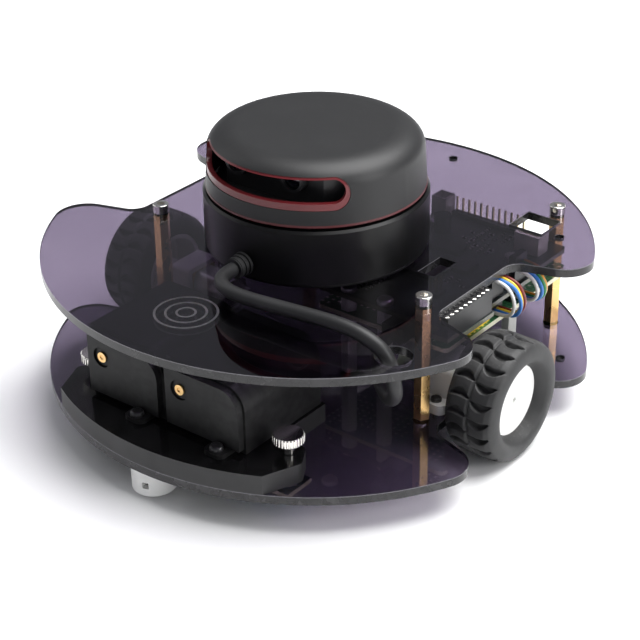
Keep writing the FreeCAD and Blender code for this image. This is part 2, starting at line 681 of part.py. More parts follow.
drive_pieces = {"motor": motor_can, "rotor": rotor, "gearbox": gearbox, "idler_gear": idler_gear,
                "output_shaft": output_shaft, "bracket": bracket, "wheel_hub": wheel_hub, "tyre": tyre}
for name, make in drive_pieces.items():
    piece = make()
    save(name + "_left", piece)
    save(name + "_right", mirror_x(piece))
black_screws += [pan_screw(s * bracket_mid, e * ear_screw_y, lower_top + bracket_ear_t, 1,
                           m2_r, 1.9, 1.3, bracket_ear_t + deck_t + 2)
                 for s in (1, -1) for e in (1, -1)]
save("black_screws", *black_screws)


# ---- range finder ----
def turned(points, z):
    """Solid of revolution about the Z axis from (radius, height) pairs, height above z."""
    return lathe([V(r, 0, z + h) for r, h in points], V(0, 0, 0), V(0, 0, 1))


def head_radius(h):
    """Outside radius of the head's straight side at height h above the deck."""
    low = scan_base_h + scan_gap
    return scan_head_r + (scan_head_top_r - scan_head_r) * (h - low) / (shoulder_z - low)


def head_solid(shrink):
    """Head's side, rounded shoulder and flat top, all moved inwards by shrink."""
    low = scan_base_h + scan_gap - (1 if shrink else 0)
    top = upper_top + scan_h - shrink
    rise = scan_h - shoulder_z - shrink
    middle = V(0, 0, upper_top + low)
    foot = V(head_radius(low) - shrink, 0, upper_top + low)
    shoulder = V(scan_head_top_r - shrink, 0, upper_top + shoulder_z)
    brim = V(scan_flat_r - shrink, 0, top)
    crown = V(0, 0, top)
    # a cubic curve this full is within 0.1 % of a quarter ellipse
    fullness = 0.5523
    bend = Part.BezierCurve()
    lift = V(0, 0, fullness * rise)
    widen = V(fullness * scan_shoulder, 0, 0)
    bend.setPoles([shoulder, shoulder + lift, brim + widen, brim])
    lower = Part.makePolygon([crown, middle, foot, shoulder]).Edges
    edges = lower + [bend.toShape(), Part.makeLine(brim, crown)]
    return Part.Face(Part.Wire(edges)).revolve(V(0, 0, 0), V(0, 0, 1), 360)


def window_cutter(low, high, r0, r1):
    """Long round-ended opening between heights low and high and radii r0 and r1."""
    half = (high - low) / 2
    mid = upper_top + (low + high) / 2
    start = -90 + window_turn - window_span / 2
    corners = [V(r0, 0, mid - half), V(r1, 0, mid - half), V(r1, 0, mid + half), V(r0, 0, mid + half)]
    face = Part.Face(Part.makePolygon(corners + corners[:1]))
    band = face.revolve(V(0, 0, 0), V(0, 0, 1), window_span)
    band.rotate(V(0, 0, 0), V(0, 0, 1), start)
    ends = []
    for turn in (start, start + window_span):
        a = math.radians(turn)
        ends.append(Part.makeCylinder(half, r1 - r0, V(r0 * math.cos(a), r0 * math.sin(a), mid),
                                      V(math.cos(a), math.sin(a), 0)))
    return band.fuse(ends)


base_top = scan_base_h
base = turned([(0, 0), (scan_foot_r, 0), (scan_r, 1.2), (scan_r, base_top - 0.8), (scan_r - 0.8, base_top),
               (0, base_top)], upper_top)
hollow = turned([(0, 2.0), (scan_foot_r - scan_wall, 2.0), (scan_r - scan_wall, base_top - 2.5),
                 (0, base_top - 2.5)], upper_top)
socket = post(spindle_r + 3, 0, 0, upper_top + 1.5, upper_top + base_top)
base = base.cut(hollow).fuse(socket)
for x, y in scan_screws:
    base = base.fuse(post(3.2, x, y, upper_top + 1.5, upper_top + 9))
    base = base.cut(post(m3_r + seat_fit, x, y, upper_top - 1, upper_top + 8))
base = base.cut(post(spindle_r + run_fit, 0, 0, upper_top + 4.0, upper_top + base_top + 1))
gland_y = -scan_foot_r + 0.2
base = base.cut(bolt(gland_r - 0.6 + seat_fit, 0, gland_y - 3, gland_y + 3, upper_top + gland_z))
save("scanner_base", base)

bench_low = scan_base_h + scan_gap + 0.3
bench_r = scan_head_top_r - scan_wall - 1.0
shell_inside = head_solid(scan_wall)
head = head_solid(0).cut(shell_inside)
head = head.cut(window_cutter(window_low - trim_low, window_high + trim_high, scan_flat_r, scan_r + 4))
save("scanner_head", head)

wall = head_solid(trim_inset).cut(shell_inside)
trim_z0 = window_low - trim_low + seat_fit
trim_z1 = window_high + trim_high - seat_fit
trim = window_cutter(trim_z0, trim_z1, scan_flat_r, scan_r + 4)
trim = trim.cut(window_cutter(window_low, window_high, scan_flat_r - 1, scan_r + 5))
save("window_trim", trim.common(wall))

bench_disc = post(bench_r, 0, 0, upper_top + bench_low, upper_top + bench_low + 2)
bench_block = post(bench_r - 3.5, 0, 0, upper_top + bench_low + 2, upper_top + shoulder_z + 3)
bench_front = scan_r - optics_inset
bench_block = bench_block.cut(box(-50, -50, upper_top, 50, -bench_front, upper_top + scan_h))
eye_z = upper_top + (window_low + window_high) / 2
for x, r in barrels.values():
    barrel = bolt(r, x, -bench_front - barrel_reach, -bench_front + 1, eye_z)
    barrel = barrel.cut(bolt(r - barrel_wall, x, -bench_front - 6, -bench_front - 1, eye_z))
    bench_block = bench_block.fuse(barrel)
optics = bench_disc.fuse(bench_block)
optics.rotate(V(0, 0, 0), V(0, 0, 1), window_turn)
save("scanner_optics", optics)
spindle_top = upper_top + bench_low
spindle = post(spindle_r, 0, 0, upper_top + 4.4, spindle_top).fuse(
    post(spindle_r + 5, 0, 0, upper_top + base_top + 0.4, spindle_top))
save("scanner_spindle", spindle)


# ---- scanner's lead ----
def tube(points, r, name):
    """Round tube along straight runs joined by tangent arcs, with its volume checked."""
    pts = [V(*p) for p in points]
    edges = []
    here = pts[0]
    radii = []
    for before, at, after in zip(pts, pts[1:], pts[2:]):
        into = (at - before).normalize()
        out = (after - at).normalize()
        turn = into.getAngle(out)
        reach = 0.45 * min(at.distanceToPoint(before), after.distanceToPoint(at))
        radii.append(reach / math.tan(turn / 2))
        a, b = at - into * reach, at + out * reach
        centre_way = (out - into).normalize()
        sagitta = radii[-1] / math.cos(turn / 2) - radii[-1]
        middle = at + centre_way * sagitta
        edges.append(Part.LineSegment(here, a).toShape())
        edges.append(Part.Arc(a, middle, b).toShape())
        here = b
    edges.append(Part.LineSegment(here, pts[-1]).toShape())
    path = Part.Wire(edges)
    way = (pts[1] - pts[0]).normalize()
    ring = Part.Wire(Part.makeCircle(r, pts[0], way))
    solid = path.makePipeShell([ring], True, False)
    ratio = solid.Volume / (math.pi * r * r * path.Length)
    print(name, "length", round(path.Length, 1), "volume ratio", round(ratio, 4),
          "radii", [round(v, 1) for v in radii])
    return solid


gland_end = -scan_foot_r - gland_len
gland = bolt(gland_r - 0.6, 0, gland_end, gland_y, upper_top + gland_z)
for k in range(3):
    y = -scan_foot_r - 1.4 - 1.8 * k
    gland = gland.fuse(bolt(gland_r - 0.2 * k, 0, y - 0.5, y + 0.5, upper_top + gland_z))
save("cable_gland", gland)

plug_w = 8.4
plug_len = 8.0
plug_x = board_x1 - 17.2
plug_y = board_y0 - 5.6
plug_z = controller_top + board_gap / 2
hole_x, hole_y = cable_hole
across = hole_x - 8.3       # lead's way along X from the gland to the hole's near side
gland_top = upper_top + gland_z
back_x, back_y = plug_x - hole_x, plug_y - hole_y
fall = upper_top - plug_z
# Above the deck the lead leaves along -Y and sweeps to the hole; each row of rise is its height there.
cable_route = [(0.0, gland_end, gland_top), (0.0, gland_end - 5.0, gland_top),
               (2.4, gland_end - 9.4, gland_top - 0.2), (7.4, gland_end - 11.6, gland_top - 0.5),
               (14.4, gland_end - 11.9, gland_top - 0.6)]
start_y = gland_end - 11.9
for share, height in ((0.4, -0.3), (0.57, 0.2), (0.73, 0.6), (0.875, 0.5), (1.0, -0.8)):
    cable_route.append((share * across, start_y + (share - 0.24) * (hole_y - 2.6 - start_y) / 0.76,
                        gland_top + height))
# Below it the lead drops through the hole, swings back under the deck and meets the plug along +Y.
cable_route += [(hole_x - 2.9, hole_y - 1.5, upper_top + 1.6), (hole_x - 0.4, hole_y - 0.5, upper_top - 3.6),
                (hole_x + 0.2, hole_y + 0.3, upper_top - 10.0)]
for share_x, share_y, drop in ((0.02, 0.06, 0.945), (0.18, 0.155, 1.23), (0.445, 0.305, 1.345),
                               (0.72, 0.48, 1.28), (0.92, 0.65, 1.06)):
    cable_route.append((hole_x + share_x * back_x, hole_y + share_y * back_y, upper_top - drop * fall))
cable_route += [(plug_x, plug_y - 5.2, plug_z), (plug_x, plug_y, plug_z)]
save("scanner_cable", tube(cable_route, cable_d / 2, "scanner_cable"))


# ---- circuit boards and what stands on them ----
def board(z):
    plate = box(board_x0, board_y0, z, board_x1, board_y1, z + board_t)
    plate = plate.makeFillet(2.0, upright_edges(plate, lambda x, y: True))
    for x, y in board_screws:
        plate = plate.cut(post(small_hole_r, x, y, z - 1, z + board_t + 1))
    return plate


def spacer(x, y, z0, z1):
    return hex_post(spacer_flats, x, y, z0, z1).cut(post(small_hole_r, x, y, z0, z1))


save("controller_board", board(controller_z))
# a tab of the upper board carries the socket strip past the notch's edge, clear of the front pillar
tab_x0 = front_pillar[0] + 0.72 * pillar_flats
header_x1 = board_x1 + header_out
header_x0 = header_x1 - header_w
header_y = board_y0 - header_first
header_y1 = header_y + contact_count * pin_pitch
tab = box(tab_x0, header_y - 0.6, driver_z, header_x1 + 0.4, header_y1 + 0.7, driver_top)
save("driver_board", board(driver_z).fuse(tab).removeSplitter())

spacers = [spacer(x, y, lower_top, controller_z) for x, y in board_screws]
spacers += [spacer(x, y, controller_top, driver_z) for x, y in board_screws]
spacers += [spacer(side * thumb_x, thumb_y, sensor_top, lower_z) for side in (1, -1)]
save("board_spacers", *spacers)

stack_h = 2 * board_t + board_gap
small_screws = [pan_screw(x, y, driver_top, 1, m3_r, cap_head_r, 1.8, stack_h + 6) for x, y in board_screws]
small_screws += [pan_screw(x, y, lower_z, -1, m3_r, cap_head_r, 1.8, deck_t + 6) for x, y in board_screws]
small_screws += [pan_screw(x, y, upper_z, -1, m3_r, cap_head_r, 1.8, deck_t + 6) for x, y in scan_screws]
small_screws += [pan_screw(side * caster_ear_x, caster_y, lower_z - caster_ear_t, -1, m2_r, pan_head_r,
                           1.4, deck_t + 4) for side in (1, -1)]
save("small_screws", *small_screws)

inner_header_x = board_x1 - 49.3
inner_header_y = board_y0 + 3.2
socket_row = box(header_x0, header_y, driver_top, header_x1, header_y1, driver_top + header_h)
inner_row = box(inner_header_x, inner_header_y, driver_top, inner_header_x + header_w,
                inner_header_y + 8 * pin_pitch, driver_top + header_h)
save("socket_header", socket_row, inner_row)

yellow_x = board_x1 - 3.8
yellow_y = board_y0 + 14.5
save("yellow_header", box(yellow_x, yellow_y, controller_top, yellow_x + header_w,
                          yellow_y + 5 * pin_pitch, controller_top + 2.6))


def pin_row(x0, y, count, tall):
    """Row of square pins along +X in a plastic strip on the driver board."""
    strip = box(x0 - pin_pitch / 2, y - 1.25, driver_top, x0 + (count - 0.5) * pin_pitch, y + 1.25,
                driver_top + 1.6)
    pins = [box(x0 + k * pin_pitch - 0.32, y - 0.32, driver_top + 1.6,
                x0 + k * pin_pitch + 0.32, y + 0.32, driver_top + tall) for k in range(count)]
    return strip.fuse(pins)


rear_pins = pin_row(board_x0 + 7.7, board_y1 - 1.4, 12, 7.2)
middle_pins = [pin_row(board_x1 - 18.2, board_y0 + 16.8 + k * pin_pitch, 2, 6.6) for k in (0, 1)]
save("rear_pin_header", rear_pins, *middle_pins)


def open_plug(x0, y0, x1, y1, tall):
    """White connector shell, open upwards, standing on the driver board."""
    shell = box(x0, y0, driver_top, x1, y1, driver_top + tall)
    return shell.cut(box(x0 + plug_wall, y0 + plug_wall, driver_top + 1.5, x1 - plug_wall, y1 - plug_wall,
                         driver_top + tall + 1))


save("white_connectors",
     open_plug(board_x1 - 13.7, board_y1 - 12.8, board_x1 - 3.9, board_y1 - 6.6, 7.0),
     open_plug(board_x0 + 0.2, board_y1 - 6.8, board_x0 + 6.2, board_y1 - 0.6, 7.6))

# chips: corner on the board from its front right corner, size along X and Y, height
driver_chips = [(16.4, 24.8, 12.0, 12.0, 1.4), (14.4, 44.8, 12.0, 6.0, 1.6), (30.4, 34.8, 6.0, 8.0, 1.6)]
controller_chips = [(14.4, 16.8, 14.0, 14.0, 1.4), (12.4, 46.8, 8.0, 8.0, 1.6)]
chips = [box(board_x0 + x, board_y0 + y, z, board_x0 + x + w, board_y0 + y + d, z + h)
         for z, rows in ((driver_top, driver_chips), (controller_top, controller_chips))
         for x, y, w, d, h in rows]
chips.append(post(3.1, board_x0 + 10.4, board_y0 + 58.8, driver_top, driver_top + 6.0))
save("board_chips", *chips)
save("cable_plug", box(plug_x - plug_w / 2, plug_y, controller_top + 0.1, plug_x + plug_w / 2,
                       plug_y + plug_len, driver_z - 0.1))

# ---- jumper wires looping out of the notch, from the upper board's sockets to the lower board's ----
wire_step = 1.45
# per bundle: wire colours, how much further out each wire swings, first wire along Y, exit above the board
bundles = {"front": (["white", "blue", "yellow", "red"], [0.0, 1.7, 1.0, 1.3], board_y0 + 28.9, 7.3),
           "rear": (["white", "blue", "green", "orange"], [0.2, 1.1, 1.3, 0.8], board_y0 + 43.0, 5.2)}
wire_low = controller_top + 1.4
socket_x1 = board_x1 - 1.0
low_socket_x = board_x1 - 2.4
low_socket_len = 5.0
sockets = []
for colours, bulges, first_y, exit_h in bundles.values():
    y0 = first_y - 1.4
    y1 = first_y + (len(colours) - 1) * wire_step + 1.4
    sockets.append(box(socket_x1 - header_w, y0, driver_top, socket_x1, y1, driver_top + header_h))
    sockets.append(box(low_socket_x - low_socket_len, y0 + 0.4, controller_top,
                       low_socket_x, y1 + 2.0, controller_top + 2.8))
save("wire_sockets", *sockets)

for bundle, (colours, bulges, first_y, exit_h) in bundles.items():
    wire_top = driver_top + exit_h
    drop = wire_top - wire_low
    for k, colour in enumerate(colours):
        y = first_y + wire_step * k
        b = bulges[k]
        x = socket_x1
        route = [(x, y, wire_top), (x + 2.8, y, wire_top),
                 (x + 5.8 + 0.6 * b, y + 0.3, wire_top - 0.14 * drop + 0.3 * b),
                 (x + 7.5 + b, y + 0.7, wire_top - 0.42 * drop),
                 (x + 7.4 + b, y + 1.0, wire_top - 0.73 * drop),
                 (x + 5.4 + 0.7 * b, y + 1.3, wire_top - 0.95 * drop - 0.2 * b),
                 (x + 2.2 + 0.2 * b, y + 1.5, wire_low), (low_socket_x, y + 1.5, wire_low)]
        save("wire_" + bundle + "_" + colour, tube(route, wire_d / 2, bundle + " " + colour))
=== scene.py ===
# %% [markdown]
# # A two-wheeled line follower robot
# The real robot is two round see-through decks on brass pillars, with a spinning range finder on top.
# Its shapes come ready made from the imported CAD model. This lesson dresses them: it gives each piece its
# finish, and builds in mesh code and curves what a CAD solid leaves plain, such as leads, tread and contacts.

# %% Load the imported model
import math
import random

import bmesh
import bpy
from mathutils import Matrix, Vector


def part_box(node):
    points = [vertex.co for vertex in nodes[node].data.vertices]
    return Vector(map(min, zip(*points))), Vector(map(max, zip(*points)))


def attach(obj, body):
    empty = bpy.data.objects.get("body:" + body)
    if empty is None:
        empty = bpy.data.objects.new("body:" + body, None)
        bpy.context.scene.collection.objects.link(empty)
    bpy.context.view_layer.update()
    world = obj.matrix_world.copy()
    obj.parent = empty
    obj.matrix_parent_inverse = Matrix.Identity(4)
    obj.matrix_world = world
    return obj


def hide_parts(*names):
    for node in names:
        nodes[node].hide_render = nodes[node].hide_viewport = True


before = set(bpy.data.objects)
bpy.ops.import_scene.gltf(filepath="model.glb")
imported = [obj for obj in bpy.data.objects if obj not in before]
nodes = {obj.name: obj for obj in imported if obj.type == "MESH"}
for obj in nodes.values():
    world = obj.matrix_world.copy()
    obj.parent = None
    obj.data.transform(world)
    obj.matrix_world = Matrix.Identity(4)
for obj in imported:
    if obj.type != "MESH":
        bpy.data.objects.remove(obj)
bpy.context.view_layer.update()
MM = 0.001
random.seed(7)

# %% [markdown]
# Heights and places that many pieces share are read from the CAD nodes themselves, so that the dressing
# follows the model when a size changes there.

# %% Shared places, in metres
deck_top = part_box("upper_deck")[1].z
lower_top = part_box("lower_deck")[1].z
axle_z = 21 * MM
board_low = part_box("driver_board")[0]
board_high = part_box("driver_board")[1]
controller_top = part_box("controller_board")[1].z
print("upper deck top at", round(deck_top, 4), "boards from", tuple(round(v, 4) for v in board_low))


# %% [markdown]
# The camera looks down at the robot from its front left. A long lens keeps the decks' ellipses calm.
# It is placed by its back vector, and rolled by less than a degree about its own line of sight.

# %% Camera
azimuth, elevation, roll = math.radians(38.34), math.radians(29.15), math.radians(-0.72)
camera_place = Vector((330.5, -416.9, 320.5)) * MM
focal_length, sensor_width = 98.37, 36
level = math.cos(elevation)
back = Vector((math.sin(azimuth) * level, -math.cos(azimuth) * level, math.sin(elevation)))
right = Vector((math.cos(azimuth), math.sin(azimuth), 0))
up = back.cross(right)
rolled_right = right * math.cos(roll) + up * math.sin(roll)
rolled_up = up * math.cos(roll) - right * math.sin(roll)
turn = Matrix((rolled_right, rolled_up, back)).transposed().to_4x4()
lens = bpy.data.cameras.new("camera")
lens.lens = focal_length
lens.sensor_width = sensor_width
lens.clip_start = 0.01
lens.clip_end = 30
camera = bpy.data.objects.new("camera", lens)
camera.matrix_world = Matrix.Translation(camera_place) @ turn
bpy.context.scene.collection.objects.link(camera)
bpy.context.scene.camera = camera
print("camera at", tuple(round(v, 3) for v in camera.location))


# %% [markdown]
# ## Leads
# The range finder's lead and the eight jumper wires are soft: each lies along one smooth line. A NURBS curve
# of order three is a good stand-in for such a line, because it rounds every corner of its control points by
# itself. Each control point states half the lead's diameter as its own radius, and the bevel depth of one
# then gives exactly that thickness.

# %% A smooth lead through control points
def lead(name, points, diameter):
    data = bpy.data.curves.new(name, "CURVE")
    data.dimensions = "3D"
    line = data.splines.new("NURBS")
    line.points.add(len(points) - 1)
    for spot, place in zip(line.points, points):
        spot.co = (place[0] * MM, place[1] * MM, place[2] * MM, 1)
        spot.radius = diameter * MM / 2
    line.order_u = 3
    line.use_endpoint_u = True
    data.resolution_u = 16
    data.bevel_depth = 1.0
    data.bevel_resolution = 6
    data.use_fill_caps = True
    piece = bpy.data.objects.new(name, data)
    bpy.context.scene.collection.objects.link(piece)
    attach(piece, "chassis")
    return piece


# %% [markdown]
# The lead leaves the gland at the front of the range finder's base, sweeps to the robot's left a few
# millimetres above the deck, dives through a round hole and swings back under the deck to its plug.

# %% The range finder's lead
lead_points = [(0.0, -43.4, 61.9), (0.0, -48.4, 61.9), (2.4, -52.8, 61.7), (7.4, -55.0, 61.4),
               (14.4, -55.3, 61.3), (23.8, -54.6, 61.6), (33.9, -53.9, 62.1), (43.4, -53.2, 62.5),
               (52.0, -52.5, 62.4), (59.4, -52.0, 61.1), (64.8, -50.9, 57.9), (67.3, -49.9, 52.7),
               (67.9, -49.1, 46.3), (67.3, -47.5, 41.2), (63.6, -44.6, 36.6), (57.6, -39.9, 34.8),
               (51.4, -34.5, 35.8), (46.8, -29.2, 39.3), (45.0, -23.6, 40.3), (45.0, -18.4, 40.3)]
scanner_lead = lead("scanner_lead", lead_points, 4.7)
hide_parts("scanner_cable")
print("scanner lead with", len(lead_points), "control points")

# %% [markdown]
# The jumper wires are short loops from the upper board's sockets down to the lower board's. In each bundle
# every wire swings out by a different amount, so that all four colours show.

# %% Jumper wires
bundles = {"front": (("white", "blue", "yellow", "red"), (0.0, 1.7, 1.0, 1.3), 16.1, 51.9),
           "rear": (("white", "blue", "green", "orange"), (0.2, 1.1, 1.3, 0.8), 30.2, 49.8)}
low, edge = 39.0, 61.2
wire_pitch, wire_thickness = 1.45, 1.3
jumpers = {}
for bundle, (colours, swings, first_y, top) in bundles.items():
    fall = top - low
    for k, (colour, swing) in enumerate(zip(colours, swings)):
        y = first_y + wire_pitch * k
        points = [(edge, y, top), (edge + 2.8, y, top),
                  (edge + 5.8 + 0.6 * swing, y + 0.3, top - 0.14 * fall + 0.3 * swing),
                  (edge + 7.5 + swing, y + 0.7, top - 0.42 * fall),
                  (edge + 7.4 + swing, y + 1.0, top - 0.73 * fall),
                  (edge + 5.4 + 0.7 * swing, y + 1.3, top - 0.95 * fall - 0.2 * swing),
                  (edge + 2.2 + 0.2 * swing, y + 1.5, low), (edge - 1.4, y + 1.5, low)]
        wire = lead("jumper_" + bundle + "_" + colour, points, wire_thickness)
        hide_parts("wire_" + bundle + "_" + colour)
        jumpers[wire] = colour
print(len(jumpers), "jumper wires")


# %% [markdown]
# ## Effects that many finishes share
# Small helpers keep the node trees readable: they add a node, a sum, a mix of two colours, a soft step, a
# noise, a coordinate. A number given instead of a socket is simply typed into the node.

# %% Node helpers
def put(socket, value):
    if isinstance(value, bpy.types.NodeSocket):
        socket.id_data.links.new(value, socket)
    elif hasattr(socket.default_value, "__len__") and len(socket.default_value) == 4:
        socket.default_value = (*value[:3], 1)
    else:
        socket.default_value = value


def add(tree, kind, **settings):
    node = tree.nodes.new(kind)
    for name, value in settings.items():
        setattr(node, name, value)
    return node


def calc(tree, operation, *values, clamp=False):
    node = add(tree, "ShaderNodeMath", operation=operation, use_clamp=clamp)
    for socket, value in zip(node.inputs, values):
        put(socket, value)
    return node.outputs[0]


def blend_colour(tree, share, first, second):
    node = add(tree, "ShaderNodeMix", data_type="RGBA")
    put(node.inputs[0], share)
    put(node.inputs[6], first)
    put(node.inputs[7], second)
    return node.outputs[2]


def between(tree, value, low, high, first=0.0, second=1.0):
    node = add(tree, "ShaderNodeMapRange", interpolation_type="SMOOTHSTEP")
    for socket, number in zip(node.inputs, (value, low, high, first, second)):
        put(socket, number)
    return node.outputs[0]


def noise(tree, scale, detail=2.0, place=None):
    node = add(tree, "ShaderNodeTexNoise")
    put(node.inputs["Vector"], place or add(tree, "ShaderNodeTexCoord").outputs["Object"])
    put(node.inputs["Scale"], scale)
    put(node.inputs["Detail"], detail)
    return node.outputs[0]


# %% Coordinate helpers
def object_axis(tree, axis):
    """One coordinate of each point, in the piece's own metres."""
    place = add(tree, "ShaderNodeSeparateXYZ")
    put(place.inputs[0], add(tree, "ShaderNodeTexCoord").outputs["Object"])
    return place.outputs[axis]


def normal_z(tree):
    """1 where a face looks up, 0 where it stands upright."""
    facing = add(tree, "ShaderNodeSeparateXYZ")
    put(facing.inputs[0], add(tree, "ShaderNodeNewGeometry").outputs["Normal"])
    return facing.outputs[2]


# %% [markdown]
# A node group is an effect with named inputs and outputs. Three are enough for this robot. "Handled surface"
# lets colour and roughness drift in soft patches, as skin oil and moulding do, and lays thin dust on what
# faces up. "Moulded grain" makes the fine pebbled height of moulded plastic and rubber. "Rubbed edges" finds
# convex edges and lightens them, as wear does.

# %% Group builder
def new_group(name, inputs, outputs):
    tree = bpy.data.node_groups.new(name, "ShaderNodeTree")
    for label, kind, default in inputs:
        socket = tree.interface.new_socket(label, in_out="INPUT", socket_type=kind)
        socket.default_value = default
    for label, kind in outputs:
        tree.interface.new_socket(label, in_out="OUTPUT", socket_type=kind)
    return tree, tree.nodes.new("NodeGroupInput").outputs, tree.nodes.new("NodeGroupOutput").inputs


COLOUR, NUMBER = "NodeSocketColor", "NodeSocketFloat"

# %% Handled surface
handled, given, result = new_group(
    "Handled surface",
    [("Colour", COLOUR, (0.5, 0.5, 0.5, 1)), ("Roughness", NUMBER, 0.4), ("Patch Scale", NUMBER, 60.0),
     ("Drift", NUMBER, 0.12), ("Dust", NUMBER, 0.05)],
    [("Colour", COLOUR), ("Roughness", NUMBER)])
patches = noise(handled, given["Patch Scale"], 3.0)
fine = noise(handled, 900.0, 1.0)
drift = calc(handled, "MULTIPLY", calc(handled, "SUBTRACT", patches, 0.5), given["Drift"])
darker = blend_colour(handled, 0.5, given["Colour"], (0, 0, 0))
lighter = blend_colour(handled, 0.35, given["Colour"], (1, 1, 1))
strength = calc(handled, "MULTIPLY", drift, 1.6)
share = calc(handled, "ADD", 0.5, strength, clamp=True)
patched = blend_colour(handled, calc(handled, "ABSOLUTE", strength), given["Colour"],
                       blend_colour(handled, share, darker, lighter))
upward = between(handled, normal_z(handled), 0.5, 1.0)
specks = between(handled, fine, 0.56, 0.74)
settled = calc(handled, "MULTIPLY", calc(handled, "MULTIPLY", upward, given["Dust"]),
               calc(handled, "ADD", 0.25, specks), clamp=True)
put(result["Colour"], blend_colour(handled, settled, patched, (0.62, 0.6, 0.57)))
rougher = calc(handled, "ADD", drift, calc(handled, "MULTIPLY", settled, 0.6))
put(result["Roughness"], calc(handled, "ADD", given["Roughness"], rougher, clamp=True))
print("handled surface of", len(handled.nodes), "nodes")

# %% Moulded grain
grain, given, result = new_group("Moulded grain", [("Scale", NUMBER, 1500.0), ("Scuffs", NUMBER, 0.2)],
                                 [("Height", NUMBER)])
pebbles = noise(grain, given["Scale"], 2.0)
stretch = add(grain, "ShaderNodeMapping")
put(stretch.inputs["Vector"], add(grain, "ShaderNodeTexCoord").outputs["Object"])
put(stretch.inputs["Scale"], (1.0, 9.0, 3.0))
scuffs = between(grain, noise(grain, 90.0, 4.0, stretch.outputs[0]), 0.6, 0.72)
put(result["Height"], calc(grain, "SUBTRACT", pebbles, calc(grain, "MULTIPLY", scuffs, given["Scuffs"])))
print("moulded grain of", len(grain.nodes), "nodes")

# %% Rubbed edges
rubbed, given, result = new_group(
    "Rubbed edges", [("Colour", COLOUR, (0.5, 0.5, 0.5, 1)), ("Bare Colour", COLOUR, (0.7, 0.7, 0.7, 1)),
                     ("Amount", NUMBER, 0.4)], [("Colour", COLOUR), ("Mask", NUMBER)])
edges = between(rubbed, add(rubbed, "ShaderNodeNewGeometry").outputs["Pointiness"], 0.51, 0.6)
broken = calc(rubbed, "MULTIPLY", edges, between(rubbed, noise(rubbed, 350.0, 3.0), 0.35, 0.65))
worn = calc(rubbed, "MULTIPLY", broken, given["Amount"], clamp=True)
put(result["Colour"], blend_colour(rubbed, worn, given["Colour"], given["Bare Colour"]))
put(result["Mask"], worn)
print("groups:", [g.name for g in bpy.data.node_groups])


# %% [markdown]
# ## Finishes
# Each material is one Principled shader. Colour and roughness pass through the groups above, so no surface
# is one flat colour, while numbers that are the same all over are typed on the shader itself.

# %% A finish from the shared effects
def place_group(tree, group, **values):
    node = add(tree, "ShaderNodeGroup", node_tree=group)
    for label, value in values.items():
        put(node.inputs[label.replace("_", " ")], value)
    return node.outputs


def finish(name, colour, roughness, metallic=0.0, coat=0.0, drift=0.12, dust=0.05, patch=60.0,
           grain_scale=1500.0, grain_depth=0.02, scuffs=0.2, worn=0.0, bare=(0.5, 0.5, 0.5), shine=0.5):
    material = bpy.data.materials.new(name)
    material.use_nodes = True
    tree = material.node_tree
    shader = tree.nodes["Principled BSDF"]
    if worn:
        colour = place_group(tree, rubbed, Colour=colour, Bare_Colour=bare, Amount=worn)["Colour"]
    surface = place_group(tree, handled, Colour=colour, Roughness=roughness, Patch_Scale=patch, Drift=drift,
                          Dust=dust)
    put(shader.inputs["Base Color"], surface["Colour"])
    put(shader.inputs["Roughness"], surface["Roughness"])
    shader.inputs["Metallic"].default_value = metallic
    shader.inputs["Coat Weight"].default_value = coat
    shader.inputs["Coat Roughness"].default_value = 0.08
    shader.inputs["Specular IOR Level"].default_value = shine
    bump = add(tree, "ShaderNodeBump")
    bump.inputs["Strength"].default_value = 0.6
    bump.inputs["Distance"].default_value = grain_depth * MM
    put(bump.inputs["Height"], place_group(tree, grain, Scale=grain_scale, Scuffs=scuffs)["Height"])
    put(shader.inputs["Normal"], bump.outputs[0])
    return material


def surface_inputs(material):
    """The inputs of a finish's Handled surface, where a pattern can replace its one colour."""
    return [n for n in material.node_tree.nodes if n.type == "GROUP" and n.node_tree == handled][0].inputs


def dress(names, material):
    """Gives CAD nodes one finish all over."""
    for name in names.split():
        mesh = nodes[name].data
        mesh.materials.clear()
        mesh.materials.append(material)


def both(names):
    return " ".join(n + side for n in names.split() for side in ("_left", "_right"))


# %% [markdown]
# The decks are tinted cast acrylic: polished faces that mirror what stands on them, and sawn edges polished
# less well. The faces transmit light and the tint is their base colour. Shadow rays meet a slightly lower
# alpha, so that a little light reaches what lies between the decks, as it does in the real thing. A small
# engraved ring pattern near the front is only a mask: inside its lines the face is pale and frosted.

# %% Engraved rings
def ring_mask(tree, centre, rings, half_line, floor_z):
    """1 on rings of the given radii round centre, in mm, above the height floor_z."""
    across = calc(tree, "SUBTRACT", object_axis(tree, 0), centre[0] * MM)
    along = calc(tree, "SUBTRACT", object_axis(tree, 1), centre[1] * MM)
    reach = calc(tree, "SQRT", calc(tree, "ADD", calc(tree, "MULTIPLY", across, across),
                                    calc(tree, "MULTIPLY", along, along)))
    marks = 0.0
    for radius in rings:
        near = calc(tree, "ABSOLUTE", calc(tree, "SUBTRACT", reach, radius * MM))
        marks = calc(tree, "ADD", marks, between(tree, near, half_line * MM * 1.2, half_line * MM * 0.8))
    above = calc(tree, "GREATER_THAN", object_axis(tree, 2), floor_z)
    return calc(tree, "MULTIPLY", marks, above, clamp=True)


# %% Acrylic
ring_centre, ring_radii, half_line = (0.0, -66.6), (3.0, 6.5, 10.0), 0.4


